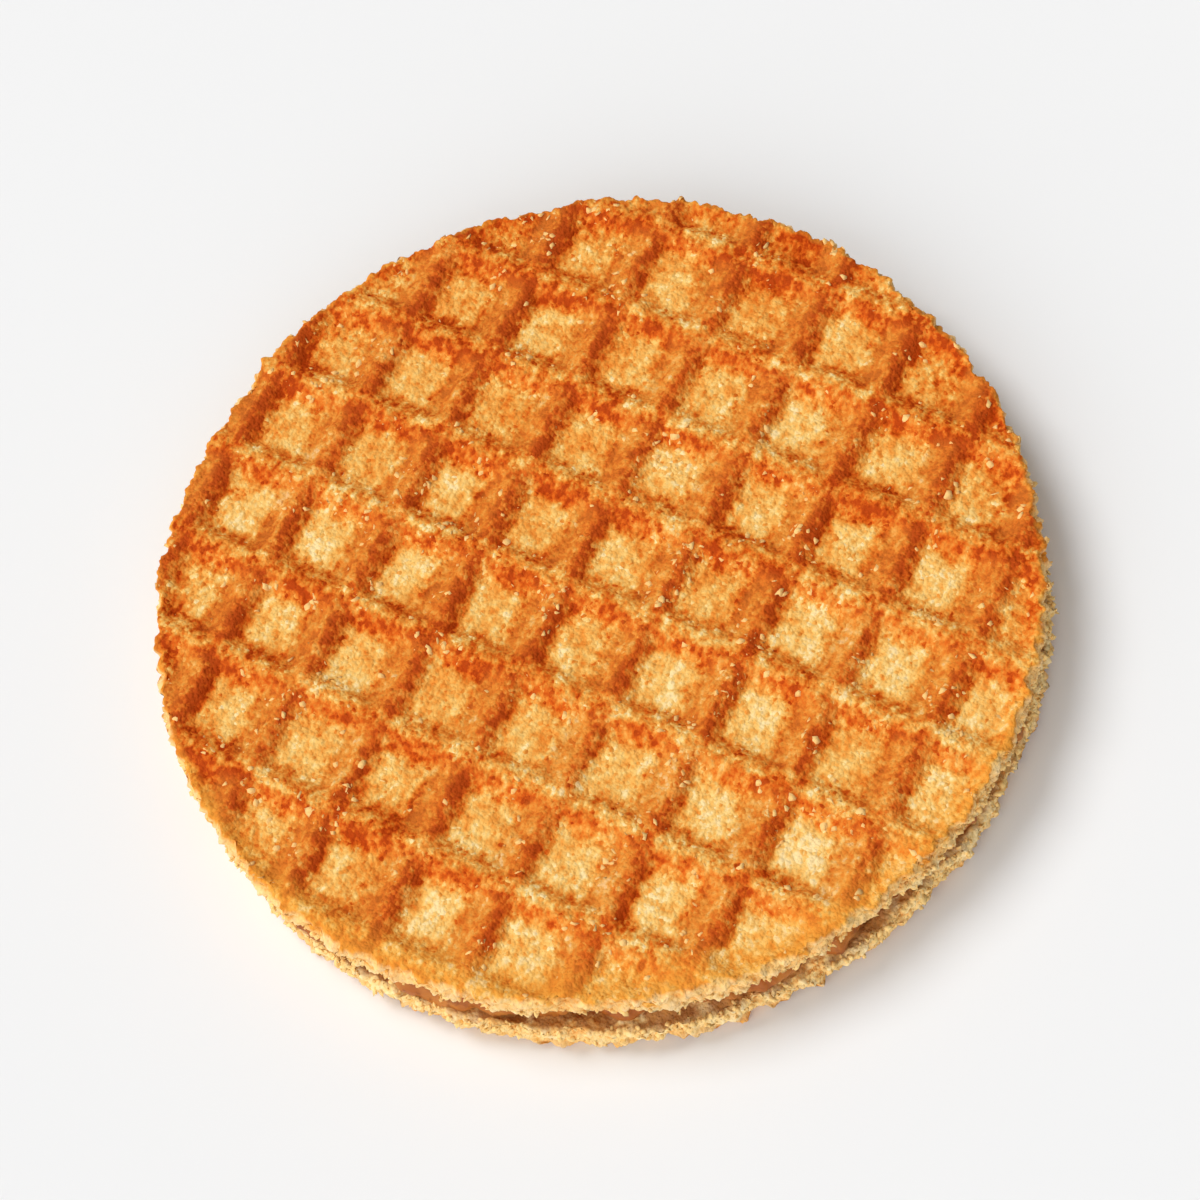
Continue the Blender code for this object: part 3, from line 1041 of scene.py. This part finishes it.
class WAFFLE_OT_crumbs(bpy.types.Operator):
    """Scatter loose crumbs over the ridges and along the torn rims"""

    bl_idname = "waffle.crumbs"
    bl_label = "Crumbs"

    def execute(self, context):
        settings = context.scene.waffle_crumbs
        tree = crumb_tree()
        dry = crumb_finish(settings)
        for name, half, slot in (
            ("crumbs_on_top", "crust_top", "baked_wafer_top"),
            ("crumbs_top_rim", "crust_top", "baked_wafer_top"),
            ("crumbs_bottom_rim", "crust_bottom", "baked_wafer_bottom"),
        ):
            source = bpy.data.objects[half].data
            crumbs = add_object(name, source.copy())
            level = read_back(source, "level")
            if name == "crumbs_on_top":
                points = np.empty(len(source.vertices) * 3)
                source.vertices.foreach_get("co", points)
                points = points.reshape(-1, 3)
                # They gather in clusters on the ridges, with a few between.
                cluster = np.array([noise.noise(Vector(point) / CLUSTER_SIZE) for point in points])
                clear_of_pits = 1 - read_back(source, "pit")
                where = np.clip(cluster * 2.6 - 0.15, 0.03, 1) * clear_of_pits * (level == 1)
                density = settings.face_density
                tones = (0.1, 0.75)
                sink = CRUMB_SINK
                stretches = ((0.6, 0.8, 0.3), (1.2, 1.5, 0.7))
            else:
                # Flakes stand out from the cut rim, and hang over the seam.
                highest = 0.45 if half == "crust_top" else 0.7
                where = (level < highest) & (read_back(source, "inset") < FLAKE_WIDTH)
                density = settings.rim_density
                tones = (0.75, 1.0)
                sink = 0.0
                stretches = ((0.5, 0.4, 0.7), (1.1, 0.8, 1.5))
            store(crumbs.data, "where", where.astype(float))
            values = {
                "Where": "where",
                "Density": density,
                "Smallest": settings.smallest,
                "Largest": settings.largest,
                "Least Stretch": stretches[0],
                "Most Stretch": stretches[1],
                "Darkest": tones[0],
                "Palest": tones[1],
                "Sink": (0.0, 0.0, sink),
                "Lowest": (-1.0, -1.0, BOTTOM_LOW.z),
                "Highest": (1.0, 1.0, TOP_HIGH.z + CRUMB_HEIGHT),
                "Seed": settings.seed,
                "Material": dry,
            }
            run_tree(crumbs, tree, values)
            crumbs.data.shade_smooth()
            finish_piece(crumbs, None)
        return {"FINISHED"}


class WAFFLE_OT_stage(bpy.types.Operator):
    """Set out the pale floor, the soft lights and the camera"""

    bl_idname = "waffle.stage"
    bl_label = "Floor, lights and camera"

    def execute(self, context):
        settings = context.scene.waffle_stage
        scene = context.scene

        # Matt pale paper: an even white without a gleam
        paper, shader = new_material("Matt pale paper", roughness=1.0, gleam=0.0)
        shader.inputs["Base Color"].default_value = linear("#eeeeee")
        mesh = bpy.data.meshes.new("floor")
        corners = [(x * FLOOR_REACH, y * FLOOR_REACH, 0.0) for x, y in ((-1, -1), (1, -1), (1, 1), (-1, 1))]
        mesh.from_pydata(corners, [], [(0, 1, 2, 3)])
        mesh.materials.append(paper)
        floor = add_object("floor", mesh)

        back = Vector(
            (
                math.sin(settings.azimuth) * math.cos(settings.elevation),
                -math.cos(settings.azimuth) * math.cos(settings.elevation),
                math.sin(settings.elevation),
            )
        )
        right = Vector((math.cos(settings.azimuth), math.sin(settings.azimuth), 0))
        up = back.cross(right)
        turn = Matrix((right, up, back)).transposed() @ Matrix.Rotation(-settings.roll, 3, "Z")
        camera_data = bpy.data.cameras.new("camera")
        camera_data.lens = settings.lens
        camera = add_object("camera", camera_data)
        low, high = CAD_BOX
        aim = (low + high) / 2
        distance = 2 * RADIUS / settings.fill * settings.lens / camera_data.sensor_width
        camera.matrix_world = Matrix.Translation(aim + back * distance) @ turn.to_4x4()
        scene.camera = camera

        # The key light is soft and comes from one side. The fill light is broad and low, in front.
        lamps = (
            ("key", settings.key, 32, Vector((-0.6, 0.03, 0.8))),
            ("fill", settings.fill_light, 90, Vector((0.06, -0.9, 0.28))),
        )
        for name, strength, spread, towards in lamps:
            lamp_data = bpy.data.lights.new(name, "SUN")
            lamp_data.energy = strength
            lamp_data.angle = math.radians(spread)
            lamp = add_object(name, lamp_data)
            lamp.rotation_euler = towards.to_track_quat("Z", "Y").to_euler()

        world = bpy.data.worlds.new("even_light")
        world.use_nodes = True
        tree = world.node_tree
        background = tree.nodes["Background"]
        background.inputs["Color"].default_value = (1.0, 1.0, 1.0, 1.0)
        # To the camera the sky is as pale as the floor, so that no horizon shows.
        seen = add_node(tree, "ShaderNodeLightPath").outputs["Is Camera Ray"]
        strength = add_node(tree, RANGE, {0: seen, 3: settings.sky, 4: settings.backdrop})
        tree.links.new(strength.outputs[0], background.inputs["Strength"])
        scene.world = world
        scene.view_settings.view_transform = "Standard"
        return {"FINISHED"}


class WAFFLE_PT_panel(bpy.types.Panel):
    """Lists the pieces of the stroopwafel with their sizes"""

    bl_idname = "WAFFLE_PT_panel"
    bl_label = "Stroopwafel"
    bl_space_type = "VIEW_3D"
    bl_region_type = "UI"
    bl_category = "Stroopwafel"

    def draw(self, context):
        for operator in OPERATORS:
            settings = operator.bl_idname.replace(".", "_")
            column = self.layout.box().column()
            column.operator(operator.bl_idname)
            for name in SETTINGS[settings].__annotations__:
                column.prop(getattr(context.scene, settings), name)


OPERATORS = (WAFFLE_OT_wafers, WAFFLE_OT_caramel, WAFFLE_OT_crumbs, WAFFLE_OT_stage)
CLASSES = (*SETTINGS.values(), *OPERATORS, WAFFLE_PT_panel)


def register():
    for each in CLASSES:
        bpy.utils.register_class(each)
    for name, group in SETTINGS.items():
        setattr(bpy.types.Scene, name, PointerProperty(type=group))


def unregister():
    for name in SETTINGS:
        delattr(bpy.types.Scene, name)
    for each in reversed(CLASSES):
        bpy.utils.unregister_class(each)


def main():
    register()
    bpy.ops.waffle.wafers()
    bpy.ops.waffle.caramel()
    bpy.ops.waffle.crumbs()
    bpy.ops.waffle.stage()


if __name__ == "__main__":
    main()
